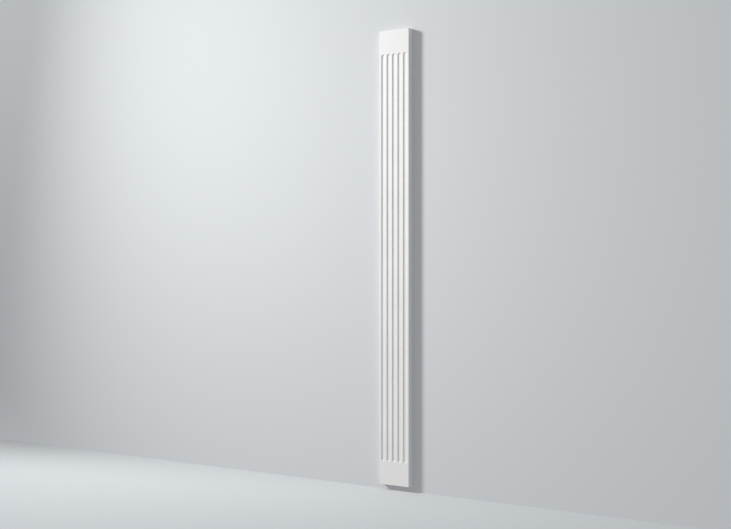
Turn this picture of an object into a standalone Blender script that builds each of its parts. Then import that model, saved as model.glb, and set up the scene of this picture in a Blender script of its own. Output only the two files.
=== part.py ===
"""Fluted pilaster moulding.

A flat-backed wall moulding, taller than a person, with a row of shallow flutes
sunk in its face and a plain block left at each end. It is moulded in one piece.

X runs across the width, Y from the face (negative) to the back (zero) and Z up.
The origin is the middle of the flat back, where the moulding meets its wall.
"""
import math

import bmesh
import bpy

# Driving dimensions, in metres
HEIGHT = 2.286
THICKNESS = 0.028575
EDGE_MARGIN = 0.01031875
ARRIS_RADIUS = 0.001
FLUTE_COUNT = 5
FLUTE_WIDTH = 0.0238125
FLUTE_DEPTH = 0.003
LAND_WIDTH = 0.009525
LIP_RADIUS = 0.0007
COVE_RADIUS = 0.003
END_BLOCK = 0.117475

# How finely the round forms are faceted
ARRIS_SEGMENTS = 3
LIP_SEGMENTS = 3
COVE_SEGMENTS = 6
END_SEGMENTS = 16

# Sizes that follow
FLUTE_PITCH = FLUTE_WIDTH + LAND_WIDTH
WIDTH = 2 * EDGE_MARGIN + FLUTE_COUNT * FLUTE_WIDTH + (FLUTE_COUNT - 1) * LAND_WIDTH
FLUTE_LENGTH = HEIGHT - 2 * END_BLOCK
FACE_Y = -THICKNESS

PRIMER_COLOUR = (0.80, 0.80, 0.79, 1.0)
PRIMER_ROUGHNESS = 0.5
SMOOTH_ANGLE = math.radians(35)


def clear_scene():
    """Remove whatever objects the scene starts with."""
    for scene_object in list(bpy.data.objects):
        bpy.data.objects.remove(scene_object, do_unlink=True)


def white_primer():
    """Make the satin white primer that covers the moulding."""
    material = bpy.data.materials.new("white_primer")
    material.use_nodes = True
    shader = material.node_tree.nodes["Principled BSDF"]
    shader.inputs["Base Color"].default_value = PRIMER_COLOUR
    shader.inputs["Roughness"].default_value = PRIMER_ROUGHNESS
    shader.inputs["Metallic"].default_value = 0.0
    return material


def arris_profile():
    """Give the eased edge of the face as steps of (inset from the outline, y)."""
    steps = []
    for index in range(ARRIS_SEGMENTS + 1):
        angle = math.pi / 2 * index / ARRIS_SEGMENTS
        inset = ARRIS_RADIUS * (1 - math.cos(angle))
        steps.append((inset, FACE_Y + ARRIS_RADIUS * (1 - math.sin(angle))))
    return steps


def flute_wall_profile():
    """Give the wall of a flute as steps of (inset from the mouth, y), from the lip to the floor.

    The wall is an S: a small round lip that turns down from the face, and a
    cove that turns back onto the flat floor. A flute deeper than both has a
    straight stretch between them.
    """
    reach = LIP_RADIUS + COVE_RADIUS
    turn = math.acos(max(0.0, 1 - FLUTE_DEPTH / reach))
    floor_inset = reach * math.sin(turn)
    floor_y = FACE_Y + FLUTE_DEPTH
    steps = []
    for index in range(LIP_SEGMENTS + 1):
        angle = turn * index / LIP_SEGMENTS
        steps.append((LIP_RADIUS * math.sin(angle), FACE_Y + LIP_RADIUS * (1 - math.cos(angle))))
    first_cove_step = 0 if FLUTE_DEPTH > reach else 1
    for index in range(first_cove_step, COVE_SEGMENTS + 1):
        angle = turn * (1 - index / COVE_SEGMENTS)
        inset = floor_inset - COVE_RADIUS * math.sin(angle)
        steps.append((inset, floor_y - COVE_RADIUS * (1 - math.cos(angle))))
    return steps


def rectangle_loop(inset, y):
    """Give the corners of the board's outline, drawn in by inset, at depth y."""
    half_width = WIDTH / 2 - inset
    half_height = HEIGHT / 2 - inset
    return [
        (-half_width, y, -half_height),
        (half_width, y, -half_height),
        (half_width, y, half_height),
        (-half_width, y, half_height),
    ]


def stadium_loop(centre_x, inset, y):
    """Give the round-ended outline of one flute, drawn in by inset, at depth y."""
    radius = FLUTE_WIDTH / 2 - inset
    arc_centre_z = FLUTE_LENGTH / 2 - FLUTE_WIDTH / 2
    points = []
    for end_sign, start_angle in ((1, 0.0), (-1, math.pi)):
        for index in range(END_SEGMENTS + 1):
            angle = start_angle + math.pi * index / END_SEGMENTS
            x = centre_x + radius * math.cos(angle)
            z = end_sign * arc_centre_z + radius * math.sin(angle)
            points.append((x, y, z))
    return points


def add_loop(bm, points):
    """Add a closed loop of vertices to the mesh."""
    return [bm.verts.new(point) for point in points]


def bridge(bm, loop_a, loop_b):
    """Join two loops of the same length with a band of four-sided faces."""
    count = len(loop_a)
    for index in range(count):
        after = (index + 1) % count
        bm.faces.new((loop_a[index], loop_a[after], loop_b[after], loop_b[index]))


def loft(bm, loops):
    """Join a row of point loops into one skin, and return its first and last loop."""
    rings = [add_loop(bm, points) for points in loops]
    for ring_a, ring_b in zip(rings, rings[1:]):
        bridge(bm, ring_a, ring_b)
    return rings[0], rings[-1]


def loop_edges(bm, loop):
    """Find the edges that run around a loop."""
    return [bm.edges.get((vertex, loop[(index + 1) % len(loop)])) for index, vertex in enumerate(loop)]


def add_board(bm):
    """Add the back, the four sides and the eased arrises, and return the rim of the face."""
    loops = [rectangle_loop(0.0, 0.0)]
    loops.extend(rectangle_loop(inset, y) for inset, y in arris_profile())
    back, rim = loft(bm, loops)
    bm.faces.new(back)
    return rim


def add_flute(bm, centre_x):
    """Add the wall and the floor of one flute, and return its mouth."""
    mouth, foot = loft(bm, [stadium_loop(centre_x, inset, y) for inset, y in flute_wall_profile()])
    bm.faces.new(foot)
    return mouth


def add_face(bm, rim, mouths):
    """Fill the flat face between the rim and the mouths of the flutes."""
    boundary = loop_edges(bm, rim)
    for mouth in mouths:
        boundary.extend(loop_edges(bm, mouth))
    bmesh.ops.triangle_fill(bm, edges=boundary, use_beauty=True, use_dissolve=False, normal=(0, -1, 0))


def build_pilaster():
    """Build the moulding as one closed solid and dress it."""
    bm = bmesh.new()
    rim = add_board(bm)
    first_x = -(FLUTE_COUNT - 1) / 2 * FLUTE_PITCH
    mouths = [add_flute(bm, first_x + index * FLUTE_PITCH) for index in range(FLUTE_COUNT)]
    add_face(bm, rim, mouths)
    bmesh.ops.recalc_face_normals(bm, faces=bm.faces)
    mesh = bpy.data.meshes.new("pilaster")
    bm.to_mesh(mesh)
    bm.free()
    mesh.shade_smooth()
    mesh.set_sharp_from_angle(angle=SMOOTH_ANGLE)
    mesh.materials.append(white_primer())
    pilaster = bpy.data.objects.new("pilaster", mesh)
    bpy.context.scene.collection.objects.link(pilaster)
    shading = pilaster.modifiers.new("even_shading", "WEIGHTED_NORMAL")
    shading.keep_sharp = True
    return pilaster


clear_scene()
build_pilaster()
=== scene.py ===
"""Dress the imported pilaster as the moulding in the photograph.

A tall white moulding with stopped flutes is fixed to a pale grey wall, a little above the floor,
and a soft light reaches it from the upper left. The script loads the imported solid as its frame,
stands a finely meshed moulding of the same sizes in its place, covers it with primer, and sets
the wall, the floor, the lights and the camera.

X runs across the moulding, Y from its face (negative) to its back (zero) and Z up. Lengths are
in metres and angles in radians.
"""

import logging
import math
from collections.abc import Mapping, Sequence
from dataclasses import dataclass, field
from enum import Enum

import bmesh
import bpy
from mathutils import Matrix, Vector


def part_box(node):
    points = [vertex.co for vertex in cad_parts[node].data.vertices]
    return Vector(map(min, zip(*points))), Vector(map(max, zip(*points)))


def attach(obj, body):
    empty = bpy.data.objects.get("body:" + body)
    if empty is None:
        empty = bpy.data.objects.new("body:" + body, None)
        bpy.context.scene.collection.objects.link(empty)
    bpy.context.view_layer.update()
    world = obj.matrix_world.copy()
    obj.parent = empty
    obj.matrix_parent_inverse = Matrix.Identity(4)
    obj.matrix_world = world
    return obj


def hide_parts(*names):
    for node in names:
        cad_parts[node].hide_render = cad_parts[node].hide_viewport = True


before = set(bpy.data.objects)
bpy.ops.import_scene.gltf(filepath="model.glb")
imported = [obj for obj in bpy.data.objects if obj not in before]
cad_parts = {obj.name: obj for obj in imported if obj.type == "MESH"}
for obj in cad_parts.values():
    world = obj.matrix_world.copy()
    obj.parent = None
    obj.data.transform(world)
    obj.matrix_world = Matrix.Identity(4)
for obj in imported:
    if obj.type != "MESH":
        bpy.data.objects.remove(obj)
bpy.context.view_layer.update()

Point = tuple[float, float, float]
Pair = tuple[float, float]
Colour = tuple[float, float, float, float]
Socket = bpy.types.NodeSocket

LOG = logging.getLogger("pilaster")
PHOTO_WIDTH = 731
WELD_DISTANCE = 0.000002


class Signal:
    """A number that flows through a node tree, so that maths on it reads as a Python expression."""

    def __init__(self, graph: "Graph", socket: Socket) -> None:
        """Keep the tree and the output socket that carries the number."""
        self.graph = graph
        self.socket = socket

    def maths(self, operation: str, *values: "Signal | float") -> "Signal":
        """Add one Math node.

        Args:
            operation: What the node works out.
            values: The node's operands, in order.

        Returns:
            The node's result.
        """
        node = self.graph.node("ShaderNodeMath", {"operation": operation}, dict(enumerate(values)))
        return Signal(self.graph, node.outputs[0])

    def __add__(self, other: "Signal | float") -> "Signal":
        """Give self + other."""
        return self.maths("ADD", self, other)

    def __radd__(self, other: float) -> "Signal":
        """Give other + self."""
        return self.maths("ADD", other, self)

    def __sub__(self, other: "Signal | float") -> "Signal":
        """Give self - other."""
        return self.maths("SUBTRACT", self, other)

    def __rsub__(self, other: float) -> "Signal":
        """Give other - self."""
        return self.maths("SUBTRACT", other, self)

    def __mul__(self, other: "Signal | float") -> "Signal":
        """Give self * other."""
        return self.maths("MULTIPLY", self, other)

    def __rmul__(self, other: float) -> "Signal":
        """Give other * self."""
        return self.maths("MULTIPLY", other, self)

    def __truediv__(self, other: "Signal | float") -> "Signal":
        """Give self / other."""
        return self.maths("DIVIDE", self, other)

    def __rtruediv__(self, other: float) -> "Signal":
        """Give other / self."""
        return self.maths("DIVIDE", other, self)

    def __abs__(self) -> "Signal":
        """Give the size of self without its sign."""
        return self.maths("ABSOLUTE", self)

    def root(self) -> "Signal":
        """Give the square root of self."""
        return self.maths("SQRT", self)

    def at_least(self, floor: "Signal | float") -> "Signal":
        """Give self, but never less than floor."""
        return self.maths("MAXIMUM", self, floor)

    def at_most(self, ceiling: "Signal | float") -> "Signal":
        """Give self, but never more than ceiling."""
        return self.maths("MINIMUM", self, ceiling)

    def above(self, limit: "Signal | float") -> "Signal":
        """Give 1 where self is more than limit, and 0 elsewhere."""
        return self.maths("GREATER_THAN", self, limit)

    def step(self, start: "Signal | float", end: "Signal | float") -> "Signal":
        """Rise smoothly from 0 to 1 while self goes from start to end.

        Args:
            start: Where the rise starts.
            end: Where the rise ends.

        Returns:
            The smooth step.
        """
        sockets = {"Value": self, "From Min": start, "From Max": end, "To Min": 0.0, "To Max": 1.0}
        settings = {"interpolation_type": "SMOOTHSTEP"}
        node = self.graph.node("ShaderNodeMapRange", settings, sockets)
        return Signal(self.graph, node.outputs["Result"])


class Graph:
    """A node tree under construction, for a material, the world or a modifier."""

    def __init__(self, tree: bpy.types.NodeTree) -> None:
        """Keep the tree that the nodes go into."""
        self.tree = tree

    def node(
        self,
        kind: str,
        settings: Mapping[str, object] | None = None,
        sockets: Mapping[int | str, object] | None = None,
    ) -> bpy.types.Node:
        """Add one node.

        Args:
            kind: Blender's name for the type of node.
            settings: The node's own properties, which are set before its sockets.
            sockets: A value or a link for each input that is used, by number, identifier or name.

        Returns:
            The new node.
        """
        node = self.tree.nodes.new(kind)
        for name, value in (settings or {}).items():
            setattr(node, name, value)
        for key, value in (sockets or {}).items():
            self.feed(self.socket(node.inputs, key), value)
        return node

    def socket(self, sockets: Sequence[Socket], key: int | str) -> Socket:
        """Find a socket of a node.

        Args:
            sockets: The node's inputs or its outputs.
            key: The socket's number, identifier or name.

        Returns:
            The socket.
        """
        if isinstance(key, int):
            return sockets[key]
        for socket in sockets:
            if socket.identifier == key:
                return socket
        return sockets[key]

    def feed(self, socket: Socket, value: object) -> None:
        """Link a socket, or set its value.

        Args:
            socket: The input that is fed.
            value: A signal or an output socket to link, or a plain value.
        """
        if isinstance(value, Signal):
            value = value.socket
        if isinstance(value, Socket):
            self.tree.links.new(value, socket)
        else:
            socket.default_value = value

    def signal(self, node: bpy.types.Node, key: str) -> Signal:
        """Give one output of a node as a signal."""
        return Signal(self, self.socket(node.outputs, key))

    def axes(self, vector: Socket) -> tuple[Signal, Signal, Signal]:
        """Split a vector.

        Args:
            vector: The socket that carries it.

        Returns:
            Its X, Y and Z.
        """
        node = self.node("ShaderNodeSeparateXYZ", sockets={"Vector": vector})
        return self.signal(node, "X"), self.signal(node, "Y"), self.signal(node, "Z")

    def mix_colours(self, factor: Signal, first: Socket | Colour, second: Socket | Colour) -> Socket:
        """Mix two colours.

        Args:
            factor: 0 for the first colour and 1 for the second.
            first: A colour, or the socket that carries it.
            second: A colour, or the socket that carries it.

        Returns:
            The socket that carries the mixed colour.
        """
        sockets = {"Factor_Float": factor, "A_Color": first, "B_Color": second}
        node = self.node("ShaderNodeMix", {"data_type": "RGBA"}, sockets)
        return self.socket(node.outputs, "Result_Color")

    def noise(self, vector: Socket, scale: float, detail: float) -> Signal:
        """Add a noise pattern.

        Args:
            vector: The place that it is read at.
            scale: How many waves there are to the metre.
            detail: How many finer layers it has.

        Returns:
            The pattern, around a half.
        """
        node = self.node("ShaderNodeTexNoise", sockets={"Vector": vector, "Scale": scale, "Detail": detail})
        return self.signal(node, "Fac")


@dataclass(frozen=True)
class WhitePrimer:
    """Satin white factory primer, sprayed on moulded rigid foam that stays bare on the back."""

    base: Colour = (0.80, 0.80, 0.79, 1.0)
    thin_coat: Colour = (0.775, 0.775, 0.762, 1.0)
    bare_foam: Colour = (0.755, 0.722, 0.672, 1.0)
    gloss_low: float = 0.50
    gloss_high: float = 0.58
    foam_roughness: float = 0.85
    cloud_scale: float = 5.0
    cloud_detail: float = 2.0
    cloud_share: float = 0.7
    mist_scale: float = 60.0
    mist_detail: float = 3.0
    coat_range: Pair = (0.35, 0.65)
    gloss_range: Pair = (0.3, 0.7)
    peel_scale: float = 420.0
    peel_height: float = 0.000006
    wave_scale: float = 14.0
    wave_height: float = 0.00003
    relief_detail: float = 1.0
    cell_scale: float = 900.0
    cell_height: float = 0.00012
    overspray: float = 0.006
    least_reach: float = 0.5
    fade_start: float = 0.4
    back_range: Pair = (-0.0004, -0.0001)

    def build(self, width: float, height: float) -> bpy.types.Material:
        """Make the primer.

        Args:
            width: The width of the moulding that it covers.
            height: The height of that moulding.

        Returns:
            The material.
        """
        material = bpy.data.materials.new("white_primer")
        material.use_nodes = True
        graph = Graph(material.node_tree)
        shader = material.node_tree.nodes["Principled BSDF"]
        place = graph.node("ShaderNodeTexCoord").outputs["Object"]
        clouds = graph.noise(place, self.cloud_scale, self.cloud_detail)
        mist = graph.noise(place, self.mist_scale, self.mist_detail)
        foam = self.foam_share(graph, place, mist, width, height)
        cover = (clouds * self.cloud_share + mist * (1 - self.cloud_share)).step(*self.coat_range)
        coat = graph.mix_colours(cover, self.thin_coat, self.base)
        graph.feed(shader.inputs["Base Color"], graph.mix_colours(foam, coat, self.bare_foam))
        gloss = self.gloss_low + (self.gloss_high - self.gloss_low) * mist.step(*self.gloss_range)
        graph.feed(shader.inputs["Roughness"], gloss + (self.foam_roughness - gloss) * foam)
        graph.feed(shader.inputs["Normal"], self.relief(graph, place, foam))
        return material

    def foam_share(self, graph: Graph, place: Socket, mist: Signal, width: float, height: float) -> Signal:
        """Find where the foam is bare.

        The primer reaches round the edge of the back for a few millimetres and fades out unevenly.

        Args:
            graph: The material's tree.
            place: The socket with the place on the moulding.
            mist: The pattern that makes the fade uneven.
            width: The width of the moulding.
            height: The height of the moulding.

        Returns:
            0 on primer and 1 on bare foam.
        """
        x, y, z = graph.axes(place)
        from_side = width / 2 - abs(x)
        from_end = height / 2 - abs(z)
        from_edge = from_side.at_most(from_end)
        reach = self.overspray * (self.least_reach + mist)
        on_back = y.step(*self.back_range)
        return on_back * from_edge.step(reach * self.fade_start, reach)

    def relief(self, graph: Graph, place: Socket, foam: Signal) -> Socket:
        """Raise the fine surface: the sprayed skin's peel on the primer, and cut cells on the foam.

        The height is in metres, so the bump has a strength and a distance of one.

        Args:
            graph: The material's tree.
            place: The socket with the place on the moulding.
            foam: 0 on primer and 1 on bare foam.

        Returns:
            The socket that carries the bumped normal.
        """
        peel = graph.noise(place, self.peel_scale, self.relief_detail) * self.peel_height
        wave = graph.noise(place, self.wave_scale, self.relief_detail) * self.wave_height
        cell_node = graph.node("ShaderNodeTexVoronoi", sockets={"Vector": place, "Scale": self.cell_scale})
        cells = graph.signal(cell_node, "Distance") * self.cell_height
        height = (peel + wave) * (1 - foam) + cells * foam
        bump = graph.node("ShaderNodeBump", sockets={"Strength": 1.0, "Distance": 1.0, "Height": height})
        return bump.outputs["Normal"]


@dataclass(frozen=True)
class MattPaint:
    """Plain matt paint or cloth for the planes of the studio."""

    name: str
    colour: Colour
    roughness: float = 0.9
    one_sided: bool = False
    clear: float = 0.0

    def build(self) -> bpy.types.Material:
        """Make the paint.

        Returns:
            The material.
        """
        material = bpy.data.materials.new(self.name)
        material.use_nodes = True
        graph = Graph(material.node_tree)
        shader = material.node_tree.nodes["Principled BSDF"]
        graph.feed(shader.inputs["Base Color"], self.colour)
        graph.feed(shader.inputs["Roughness"], self.roughness)
        if self.one_sided:
            self.thin_out(graph, shader, graph.node("ShaderNodeNewGeometry").outputs["Backfacing"])
        elif self.clear:
            self.thin_out(graph, shader, self.clear)
        return material

    def thin_out(self, graph: Graph, shader: bpy.types.Node, share: Socket | float) -> None:
        """Let light through the paint.

        Args:
            graph: The material's tree.
            shader: The node that shades the paint.
            share: How much of the paint is clear, from 0 to 1.
        """
        clear = graph.node("ShaderNodeBsdfTransparent").outputs["BSDF"]
        mix = graph.node("ShaderNodeMixShader", sockets={0: share, 1: shader.outputs["BSDF"], 2: clear})
        graph.feed(graph.tree.nodes["Material Output"].inputs["Surface"], mix.outputs["Shader"])


def bridge(
    bm: bmesh.types.BMesh, outer: Sequence[bmesh.types.BMVert], inner: Sequence[bmesh.types.BMVert]
) -> None:
    """Join two closed rows of points with a band of faces.

    Args:
        bm: The mesh that the faces go into.
        outer: The row further from the middle, or further back.
        inner: The row nearer to the middle of the face.
    """
    for index in range(len(outer)):
        after = (index + 1) % len(outer)
        bm.faces.new((outer[index], outer[after], inner[after], inner[index]))


@dataclass(frozen=True)
class FluteSizes:
    """The sizes of the flutes, as the solid has them."""

    count: int = 5
    width: float = 0.0238125
    depth: float = 0.003
    land: float = 0.009525
    lip_radius: float = 0.0007
    cove_radius: float = 0.003
    end_block: float = 0.117475

    @property
    def pitch(self) -> float:
        """The distance from one flute to the next."""
        return self.width + self.land

    @property
    def wall_turn(self) -> float:
        """The angle that the lip turns down through, and the cove back again."""
        return math.acos(max(0.0, 1 - self.depth / (self.lip_radius + self.cove_radius)))

    def wall_insets(self, lip_steps: int, cove_steps: int) -> list[float]:
        """Give the distances from the mouth at which the wall has a row of points.

        Args:
            lip_steps: How many bands of faces the lip has.
            cove_steps: How many bands of faces the cove has.

        Returns:
            The insets, from the mouth to the floor.
        """
        turn = self.wall_turn
        floor = (self.lip_radius + self.cove_radius) * math.sin(turn)
        insets = [self.lip_radius * math.sin(turn * step / lip_steps) for step in range(lip_steps + 1)]
        for step in range(1, cove_steps + 1):
            insets.append(floor - self.cove_radius * math.sin(turn * (1 - step / cove_steps)))
        return insets


@dataclass
class FluteCell:
    """The patch of face round one flute, still flat, with rows of points where the flute will bend."""

    sizes: FluteSizes
    half_height: float
    arc_steps: int = 40
    straight_steps: int = 24
    lip_steps: int = 5
    cove_steps: int = 9
    support: float = 0.0004

    @property
    def arc_centre(self) -> float:
        """The height of the centre of the flute's round end."""
        return self.half_height - self.sizes.end_block - self.sizes.width / 2

    def angles(self) -> list[float]:
        """Give the angles of one round end, from its right to its left."""
        return [math.pi * step / self.arc_steps for step in range(self.arc_steps + 1)]

    def heights(self) -> list[float]:
        """Give the heights of the points along the straight sides, from low to high, without the ends."""
        steps = self.straight_steps
        return [self.arc_centre * (2 * step / steps - 1) for step in range(1, steps)]

    def ring(self, radius: float, square: bool = False) -> list[Pair]:
        """Lay out one closed row of points round the flute.

        Args:
            radius: The distance from the flute's middle line.
            square: True for the cell's own outline, whose ends are square instead of round.

        Returns:
            The points' x and z, turning left as seen from the front.
        """
        points = []
        for sign in (1, -1):
            points.extend((sign * radius, sign * z) for z in self.heights())
            for angle in self.angles():
                across, along = math.cos(angle), math.sin(angle)
                stretch = radius / max(abs(across), abs(along)) if square else radius
                points.append((sign * stretch * across, sign * (self.arc_centre + stretch * along)))
        return points

    def rings(self) -> list[list[Pair]]:
        """Lay out every row of points.

        Returns:
            The rows, from the cell's outline to the flute's middle line.
        """
        mouth = self.sizes.width / 2
        insets = self.sizes.wall_insets(self.lip_steps, self.cove_steps)
        radii = [mouth + self.support]
        radii.extend(mouth - inset for inset in insets)
        radii.append(mouth - insets[-1] - self.support)
        radii.append(0.0)
        return [self.ring(self.sizes.pitch / 2, square=True), *(self.ring(radius) for radius in radii)]

    def build(self, face_y: float) -> bpy.types.Object:
        """Make the flat cell, centred on the middle of the face.

        Args:
            face_y: The depth at which the face lies.

        Returns:
            The cell's object, which the Geometry Nodes tree takes up.
        """
        mesh = bpy.data.meshes.new("flute_cell")
        bm = bmesh.new()
        rows = [[bm.verts.new((x, face_y, z)) for x, z in ring] for ring in self.rings()]
        for outer, inner in zip(rows, rows[1:]):
            bridge(bm, outer, inner)
        bmesh.ops.remove_doubles(bm, verts=bm.verts, dist=WELD_DISTANCE)
        bm.to_mesh(mesh)
        bm.free()
        cell = bpy.data.objects.new("flute_cell", mesh)
        bpy.context.scene.collection.objects.link(cell)
        return cell

    def grid_lines(self) -> tuple[list[float], list[float]]:
        """Find where the points lie on the outline of all the cells side by side.

        Returns:
            The x of the points along its ends, and the z of the points along its sides.
        """
        half = self.sizes.pitch / 2
        eighth = self.arc_steps // 4
        slopes = [math.tan(math.pi * step / self.arc_steps) for step in range(1, eighth + 1)]
        across = [-half * slope for slope in reversed(slopes)] + [0.0] + [half * slope for slope in slopes]
        first = -(self.sizes.count - 1) / 2 * self.sizes.pitch
        xs = [first - half]
        for index in range(self.sizes.count):
            xs.extend(first + index * self.sizes.pitch + x for x in across[1:])
        high = [self.arc_centre + half * slope for slope in (0.0, *slopes)]
        zs = [-z for z in reversed(high)] + self.heights() + high
        return xs, zs


@dataclass
class BoardShell:
    """The board round the flutes: the margin of the face, the eased arrises, the sides and the back."""

    width: float
    thickness: float
    height: float
    arris_radius: float = 0.001
    arris_steps: int = 5
    support: float = 0.0004

    def rims(self) -> list[Pair]:
        """Lay out the rows of points from the face to the back.

        Returns:
            The inset from the board's outline and the y of each row.
        """
        face = -self.thickness
        rows = [(self.arris_radius + self.support, face)]
        for step in range(self.arris_steps + 1):
            angle = math.pi / 2 * (1 - step / self.arris_steps)
            inset = self.arris_radius * (1 - math.cos(angle))
            rows.append((inset, face + self.arris_radius * (1 - math.sin(angle))))
        rows.append((0.0, face + self.arris_radius + self.support))
        rows.append((0.0, 0.0))
        return rows

    def build(self, xs: Sequence[float], zs: Sequence[float]) -> bpy.types.Object:
        """Make the shell, open where the flutes' cells go.

        Args:
            xs: The x of each point on the lower and upper edge of the opening.
            zs: The z of each point on the left and right edge of the opening.

        Returns:
            The shell's object.
        """
        last_x, last_z = len(xs) - 1, len(zs) - 1
        border = [(last_x, row) for row in range(last_z)]
        border += [(column, last_z) for column in range(last_x, 0, -1)]
        border += [(0, row) for row in range(last_z, 0, -1)]
        border += [(column, 0) for column in range(last_x)]
        bm = bmesh.new()
        inner = [bm.verts.new((xs[column], -self.thickness, zs[row])) for column, row in border]
        for inset, y in self.rims():
            wide = (self.width / 2 - inset) / xs[-1]
            tall = (self.height / 2 - inset) / zs[-1]
            outer = [bm.verts.new((xs[column] * wide, y, zs[row] * tall)) for column, row in border]
            bridge(bm, outer, inner)
            inner = outer
        self.add_back(bm, dict(zip(border, inner)), xs, zs)
        mesh = bpy.data.meshes.new("fluted_moulding")
        bm.to_mesh(mesh)
        bm.free()
        shell = bpy.data.objects.new("fluted_moulding", mesh)
        bpy.context.scene.collection.objects.link(shell)
        return shell

    def add_back(
        self,
        bm: bmesh.types.BMesh,
        rim: Mapping[tuple[int, int], bmesh.types.BMVert],
        xs: Sequence[float],
        zs: Sequence[float],
    ) -> None:
        """Close the flat back with a grid of faces.

        Args:
            bm: The shell's mesh.
            rim: The points on the edge of the back, by column and row.
            xs: The x of each column at the opening in the face.
            zs: The z of each row at the opening in the face.
        """
        wide = self.width / 2 / xs[-1]
        tall = self.height / 2 / zs[-1]
        grid = dict(rim)
        for column, x in enumerate(xs):
            for row, z in enumerate(zs):
                if (column, row) not in grid:
                    grid[column, row] = bm.verts.new((x * wide, 0.0, z * tall))
        for column in range(len(xs) - 1):
            for row in range(len(zs) - 1):
                corners = ((column, row), (column, row + 1), (column + 1, row + 1), (column + 1, row))
                bm.faces.new([grid[corner] for corner in corners])


class TreeInput(Enum):
    """The named inputs of the tree that flutes the board, with the kind of socket of each."""

    CELL = ("Flute cell", "NodeSocketObject")
    COUNT = ("Flute count", "NodeSocketInt")
    PITCH = ("Flute pitch", "NodeSocketFloat")
    WIDTH = ("Flute width", "NodeSocketFloat")
    ARC_CENTRE = ("Flute arc centre", "NodeSocketFloat")
    DEPTH = ("Flute depth", "NodeSocketFloat")
    LIP = ("Lip radius", "NodeSocketFloat")
    COVE = ("Cove radius", "NodeSocketFloat")
    SMOOTH = ("Smooth angle", "NodeSocketFloat")
    FINISH = ("Finish", "NodeSocketMaterial")

    @property
    def title(self) -> str:
        """The input's name."""
        return self.value[0]

    @property
    def kind(self) -> str:
        """The input's kind of socket."""
        return self.value[1]


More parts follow.
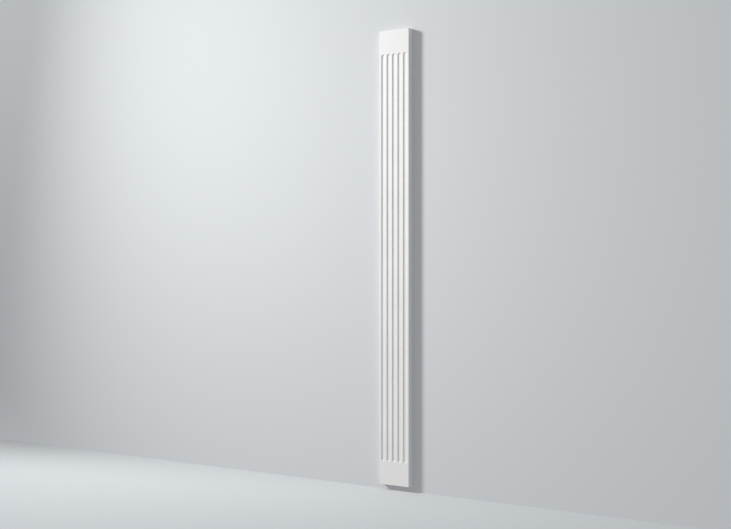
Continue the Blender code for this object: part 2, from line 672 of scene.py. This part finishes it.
class FluteTree:
    """The Geometry Nodes tree that sinks a flute into its flat cell and repeats it across the board."""

    def __init__(self) -> None:
        """Build the tree."""
        self.tree = bpy.data.node_groups.new("stopped_flutes", "GeometryNodeTree")
        self.graph = Graph(self.tree)
        face = self.tree.interface
        face.new_socket("Geometry", in_out="INPUT", socket_type="NodeSocketGeometry")
        face.new_socket("Geometry", in_out="OUTPUT", socket_type="NodeSocketGeometry")
        self.identifiers = {
            item: face.new_socket(item.title, in_out="INPUT", socket_type=item.kind).identifier
            for item in TreeInput
        }
        self.given = self.graph.node("NodeGroupInput")
        self.link_up()

    def size(self, item: TreeInput) -> Signal:
        """Give one of the tree's inputs as a signal."""
        return self.graph.signal(self.given, item.title)

    def sunk_depth(self) -> Signal:
        """Work out how deep each point of the cell is sunk.

        The wall of a flute turns down from the face on the lip's radius and back onto the flat
        floor on the cove's radius, at every point round the flute.

        Returns:
            The depth below the face.
        """
        place = self.graph.node("GeometryNodeInputPosition").outputs["Position"]
        x, _, z = self.graph.axes(place)
        past_centre = (abs(z) - self.size(TreeInput.ARC_CENTRE)).at_least(0.0)
        from_middle = (x * x + past_centre * past_centre).root()
        inset = self.size(TreeInput.WIDTH) / 2.0 - from_middle
        depth, lip, cove = (self.size(item) for item in (TreeInput.DEPTH, TreeInput.LIP, TreeInput.COVE))
        reach = lip + cove
        cosine = (1.0 - depth / reach).at_least(0.0)
        sine = (1.0 - cosine * cosine).root()
        on_lip = inset.at_least(0.0).at_most(lip * sine)
        to_floor = (reach * sine - inset).at_least(0.0).at_most(cove * sine)
        lip_drop = lip - (lip * lip - on_lip * on_lip).root()
        cove_drop = (cove * cove - to_floor * to_floor).root() - cove * cosine
        return lip_drop + cove_drop

    def row_of_flutes(self) -> Socket:
        """Take up the flat cell, sink the flute into it, and set one on each place across the board.

        Returns:
            The socket that carries the row.
        """
        graph = self.graph
        cell = graph.node("GeometryNodeObjectInfo", {"transform_space": "ORIGINAL"}, {
            "Object": self.given.outputs[TreeInput.CELL.title],
        })
        drop = graph.node("ShaderNodeCombineXYZ", sockets={"Y": self.sunk_depth()})
        sunk = graph.node("GeometryNodeSetPosition", sockets={
            "Geometry": cell.outputs["Geometry"],
            "Offset": drop.outputs["Vector"],
        })
        pitch, count = self.size(TreeInput.PITCH), self.size(TreeInput.COUNT)
        start = graph.node("ShaderNodeCombineXYZ", sockets={"X": pitch * (count - 1.0) * -0.5})
        stride = graph.node("ShaderNodeCombineXYZ", sockets={"X": pitch})
        places = graph.node("GeometryNodeMeshLine", {"mode": "OFFSET"}, {
            "Count": count,
            "Start Location": start.outputs["Vector"],
            "Offset": stride.outputs["Vector"],
        })
        row = graph.node("GeometryNodeInstanceOnPoints", sockets={
            "Points": places.outputs["Mesh"],
            "Instance": sunk.outputs["Geometry"],
        })
        return row.outputs["Instances"]

    def smoothed(self, geometry: Socket) -> Socket:
        """Shade the faces smooth, but keep each fold sharper than the smooth angle crisp.

        Args:
            geometry: The socket that carries the mesh.

        Returns:
            The socket that carries it shaded.
        """
        graph = self.graph
        smooth = graph.node("GeometryNodeSetShadeSmooth", {"domain": "FACE"}, {
            "Geometry": geometry,
            "Shade Smooth": True,
        })
        fold = graph.signal(graph.node("GeometryNodeInputMeshEdgeAngle"), "Unsigned Angle")
        creased = graph.node("GeometryNodeSetShadeSmooth", {"domain": "EDGE"}, {
            "Geometry": smooth.outputs["Geometry"],
            "Selection": fold.above(self.size(TreeInput.SMOOTH)),
            "Shade Smooth": False,
        })
        return creased.outputs["Geometry"]

    def link_up(self) -> None:
        """Join the row of flutes to the board, weld them, shade the mesh and give it its finish."""
        graph = self.graph
        joined = graph.node("GeometryNodeJoinGeometry", sockets={"Geometry": self.row_of_flutes()})
        graph.feed(joined.inputs["Geometry"], self.given.outputs["Geometry"])
        real = graph.node("GeometryNodeRealizeInstances", sockets={"Geometry": joined.outputs["Geometry"]})
        welded = graph.node("GeometryNodeMergeByDistance", sockets={
            "Geometry": real.outputs["Geometry"],
            "Distance": WELD_DISTANCE,
        })
        dressed = graph.node("GeometryNodeSetMaterial", sockets={
            "Geometry": self.smoothed(welded.outputs["Geometry"]),
            "Material": self.given.outputs[TreeInput.FINISH.title],
        })
        graph.node("NodeGroupOutput", sockets={"Geometry": dressed.outputs["Geometry"]})

    def apply(self, board: bpy.types.Object, values: Mapping[TreeInput, object]) -> None:
        """Run the tree on a board and keep the result as the board's plain mesh.

        Args:
            board: The object whose mesh the tree starts from.
            values: What each of the tree's inputs is set to.
        """
        modifier = board.modifiers.new("flutes", "NODES")
        modifier.node_group = self.tree
        for item, value in values.items():
            modifier[self.identifiers[item]] = value
        depsgraph = bpy.context.evaluated_depsgraph_get()
        made = board.evaluated_get(depsgraph)
        mesh = bpy.data.meshes.new_from_object(made, preserve_all_data_layers=True, depsgraph=depsgraph)
        board.modifiers.remove(modifier)
        board.data = mesh


@dataclass
class FlutedMoulding:
    """The pilaster itself: a board with a row of stopped flutes, in one piece."""

    low: Vector
    high: Vector
    flutes: FluteSizes = field(default_factory=FluteSizes)
    primer: WhitePrimer = field(default_factory=WhitePrimer)
    smooth_angle: float = math.radians(35)

    def build(self) -> bpy.types.Object:
        """Make the moulding and dress it.

        Returns:
            The finished piece.
        """
        width, thickness, height = self.high - self.low
        cell = FluteCell(self.flutes, height / 2)
        cell_object = cell.build(-thickness)
        board = BoardShell(width, thickness, height).build(*cell.grid_lines())
        FluteTree().apply(board, {
            TreeInput.CELL: cell_object,
            TreeInput.COUNT: self.flutes.count,
            TreeInput.PITCH: self.flutes.pitch,
            TreeInput.WIDTH: self.flutes.width,
            TreeInput.ARC_CENTRE: cell.arc_centre,
            TreeInput.DEPTH: self.flutes.depth,
            TreeInput.LIP: self.flutes.lip_radius,
            TreeInput.COVE: self.flutes.cove_radius,
            TreeInput.SMOOTH: self.smooth_angle,
            TreeInput.FINISH: self.primer.build(width, height),
        })
        bpy.data.objects.remove(cell_object)
        self.report(board)
        return board

    def report(self, board: bpy.types.Object) -> None:
        """Log the size of the finished mesh, and whether it is closed.

        Args:
            board: The finished piece.
        """
        bm = bmesh.new()
        bm.from_mesh(board.data)
        open_edges = sum(1 for edge in bm.edges if len(edge.link_faces) != 2)
        triangles = sum(len(face.verts) - 2 for face in bm.faces)
        volume = bm.calc_volume(signed=True)
        bm.free()
        text = "%s: %d triangles, %d open edges, %.6f cubic metres"
        LOG.info(text, board.name, triangles, open_edges, volume)


class Plane(Enum):
    """The planes of the studio."""

    WALL = "studio_wall"
    FLOOR = "studio_floor"
    FLAG = "light_flag"


@dataclass
class Studio:
    """The pale wall and floor round the moulding, and the flag that shades the wall's far left."""

    bottom: float
    floor_gap: float = 0.0254
    wall_gap: float = 0.001
    wall_half_width: float = 14.0
    wall_top: float = 7.0
    floor_half: float = 40.0
    wall_paint: MattPaint = MattPaint("wall_paint", (0.629, 0.656, 0.667, 1.0), one_sided=True)
    floor_paint: MattPaint = MattPaint("floor_paint", (0.53, 0.552, 0.562, 1.0))
    flag_cloth: MattPaint = MattPaint("flag_cloth", (0.05, 0.05, 0.05, 1.0), roughness=1.0, clear=0.15)
    flag_low_corner: Point = (-4.38, -1.437, 0.75)
    flag_top_corner: Point = (-4.0, -1.662, 4.0)
    flag_tail: Pair = (-6.3, -0.3)

    def corners(self, plane: Plane) -> list[Point]:
        """Give the corners of one plane.

        Args:
            plane: Which plane.

        Returns:
            Its corners, in the order that turns its face to the room.
        """
        ground = self.bottom - self.floor_gap
        if plane is Plane.WALL:
            half, y, top = self.wall_half_width, self.wall_gap, self.wall_top
            return [(-half, y, ground), (half, y, ground), (half, y, top), (-half, y, top)]
        if plane is Plane.FLOOR:
            half = self.floor_half
            places = ((-half, -half), (half, -half), (half, half), (-half, half))
            return [(x, y, ground) for x, y in places]
        low, top = self.flag_low_corner, self.flag_top_corner
        return [low, (*self.flag_tail, low[2]), (*self.flag_tail, top[2]), top]

    def build(self) -> None:
        """Make the planes, hide the flag from the camera, and keep the floor out of the lighting rays."""
        paints = {Plane.WALL: self.wall_paint, Plane.FLOOR: self.floor_paint, Plane.FLAG: self.flag_cloth}
        for plane, paint in paints.items():
            mesh = bpy.data.meshes.new(plane.value)
            mesh.from_pydata(self.corners(plane), [], [(0, 1, 2, 3)])
            mesh.materials.append(paint.build())
            pane = bpy.data.objects.new(plane.value, mesh)
            bpy.context.scene.collection.objects.link(pane)
            pane.visible_camera = plane is not Plane.FLAG
            if plane is Plane.FLOOR:
                pane.visible_diffuse = False
                pane.visible_glossy = False
                pane.visible_shadow = False
            LOG.info("%s set", plane.value)


@dataclass
class StudioLight:
    """A soft key from the upper left, an even fill, and a lamp behind that only the moulding meets."""

    key_place: Point = (-6.06, -2.68, 3.26)
    key_aim: Point = (-1.2, 0.0, 0.85)
    key_size: float = 1.4
    key_spread: float = math.radians(80)
    key_power: float = 158.0
    fill: Colour = (0.47, 0.47, 0.485, 1.0)
    backdrop: Colour = (0.56, 0.59, 0.61, 1.0)
    back_place: Point = (0.0, 12.0, 1.5)
    back_aim: Point = (0.0, 0.0, 0.0)
    back_size: float = 0.8
    back_power: float = 800.0

    def lamp(self, name: str, place: Point, aim: Point, size: float, power: float) -> bpy.types.Object:
        """Hang one round soft lamp.

        Args:
            name: What it is called.
            place: Where it hangs.
            aim: The point that it faces.
            size: The diameter of its face.
            power: What it gives off, in watts.

        Returns:
            The lamp's object.
        """
        light = bpy.data.lights.new(name, "AREA")
        light.shape = "DISK"
        light.size = size
        light.energy = power
        lamp = bpy.data.objects.new(name, light)
        lamp.location = place
        lamp.rotation_euler = (Vector(aim) - Vector(place)).to_track_quat("-Z", "Y").to_euler()
        bpy.context.scene.collection.objects.link(lamp)
        return lamp

    def build(self, moulding: bpy.types.Object) -> None:
        """Hang the lamps and light the room.

        Args:
            moulding: The piece that the lamp behind shines on.
        """
        key = self.lamp("key", self.key_place, self.key_aim, self.key_size, self.key_power)
        key.data.spread = self.key_spread
        behind = self.lamp("behind", self.back_place, self.back_aim, self.back_size, self.back_power)
        lit = bpy.data.collections.new("lit_from_behind")
        lit.objects.link(moulding)
        behind.light_linking.receiver_collection = lit
        behind.light_linking.blocker_collection = lit
        self.fill_room()
        LOG.info("lights set")

    def fill_room(self) -> None:
        """Give the room an even fill, and a pale backdrop where nothing else is seen."""
        world = bpy.data.worlds.new("studio_fill")
        world.use_nodes = True
        world.node_tree.nodes.clear()
        graph = Graph(world.node_tree)
        seen = graph.signal(graph.node("ShaderNodeLightPath"), "Is Camera Ray")
        tint = graph.mix_colours(seen, self.fill, self.backdrop)
        glow = graph.node("ShaderNodeBackground", sockets={"Color": tint, "Strength": 1.0})
        graph.node("ShaderNodeOutputWorld", sockets={"Surface": glow.outputs["Background"]})
        bpy.context.scene.world = world


@dataclass
class PhotoCamera:
    """The camera, where the photograph was taken from."""

    place: Point = (3.616, -5.215, -0.034)
    turn: float = math.radians(36.18)
    focal_pixels: float = 1260.0
    sensor: float = 36.0

    def build(self) -> None:
        """Set the camera level, turned to the left, with the photograph's angle of view."""
        data = bpy.data.cameras.new("photo_camera")
        data.sensor_width = self.sensor
        data.lens = self.focal_pixels / PHOTO_WIDTH * self.sensor
        camera = bpy.data.objects.new("photo_camera", data)
        camera.location = self.place
        camera.rotation_euler = (math.pi / 2, 0.0, self.turn)
        bpy.context.scene.collection.objects.link(camera)
        bpy.context.scene.camera = camera
        LOG.info("camera set")


def main() -> None:
    """Set the camera, make the moulding in place of its solid, then set the studio and its light."""
    bpy.context.scene.view_settings.view_transform = "Standard"
    PhotoCamera().build()
    low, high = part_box("pilaster")
    moulding = FlutedMoulding(low, high).build()
    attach(moulding, "root")
    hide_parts("pilaster")
    Studio(bottom=low.z).build()
    StudioLight().build(moulding)


if __name__ == "__main__":
    logging.basicConfig(level=logging.INFO, format="%(message)s")
    main()
